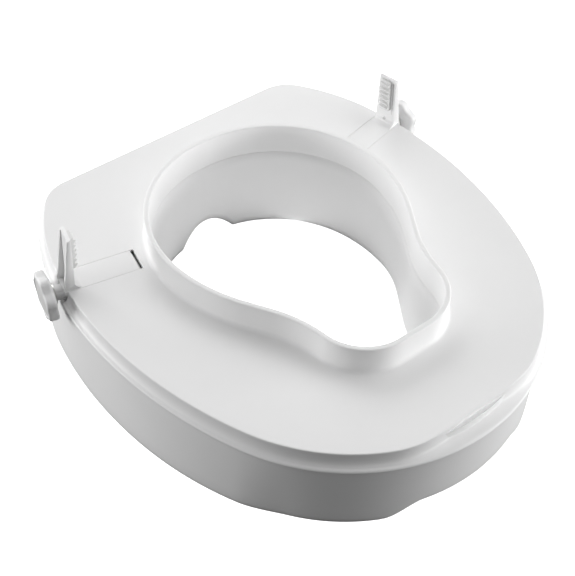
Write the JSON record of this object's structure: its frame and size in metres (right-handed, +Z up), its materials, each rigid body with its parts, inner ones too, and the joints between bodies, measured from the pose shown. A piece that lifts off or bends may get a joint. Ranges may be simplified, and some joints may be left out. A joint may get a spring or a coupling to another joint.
{
  "type": "raised toilet seat",
  "caption": "Hollow raised toilet seat with a keyhole opening, a locating collar, a front hygiene recess and screw-adjusted side brackets, standing with its bowl side up.",
  "frame": {"origin": "under the middle of the seat's bounding box, on the surface that it stands on", "axes": "+Z up out of the bowl side, -Y towards the front of the seat, X across the seat; in use the seat is turned over, with +Z down onto the bowl"},
  "size_m": [0.4034, 0.427, 0.154],
  "materials": {
    "shell": "satin moulded polypropylene",
    "plate": "satin moulded polypropylene",
    "bracket": "satin moulded nylon",
    "grip": "soft matt",
    "knob": "satin",
    "cap": "satin",
    "track": "satin",
    "screws": "zinc plated",
    "steel": "stainless",
    "spring_steel": "phosphated"
  },
  "bodies": {
    "seat": {"seat_shell": "shell", "base_plate": "plate", "bowl_collar": "plate", "left_slide_track": "track", "right_slide_track": "track", "left_track_screws": "screws", "right_track_screws": "screws", "left_clamp_nut": "steel", "right_clamp_nut": "steel"},
    "left_bracket": {"left_bracket": "bracket", "left_grip_pad": "grip"},
    "left_knob": {"left_knob": "knob", "left_knob_cap": "cap", "left_clamp_screw": "steel", "left_washer": "steel", "left_retaining_ring": "spring_steel"},
    "right_bracket": {"right_bracket": "bracket", "right_grip_pad": "grip"},
    "right_knob": {"right_knob": "knob", "right_knob_cap": "cap", "right_clamp_screw": "steel", "right_washer": "steel", "right_retaining_ring": "spring_steel"}
  },
  "joints": [
    {"name": "left_bracket_slide", "type": "slide", "parent": "seat", "child": "left_bracket", "axis": [-0.9781, 0.2079, 0], "range_m": [-0.0025, 0.02]},
    {"name": "left_knob_turn", "type": "hinge", "parent": "left_bracket", "child": "left_knob", "pos_m": [-0.18721, 0.10229, 0.091], "axis": [-0.9781, 0.2079, 0], "range_deg": [-900, 7200]},
    {"name": "right_bracket_slide", "type": "slide", "parent": "seat", "child": "right_bracket", "axis": [0.9781, 0.2079, 0], "range_m": [-0.0025, 0.02]},
    {"name": "right_knob_turn", "type": "hinge", "parent": "right_bracket", "child": "right_knob", "pos_m": [0.18721, 0.10229, 0.091], "axis": [0.9781, 0.2079, 0], "range_deg": [-900, 7200]}
  ],
  "couplings": [
    {"joint": "left_bracket_slide", "follows": "left_knob_turn", "m_per_rad": 0.00015915},
    {"joint": "right_bracket_slide", "follows": "right_knob_turn", "m_per_rad": 0.00015915}
  ]
}
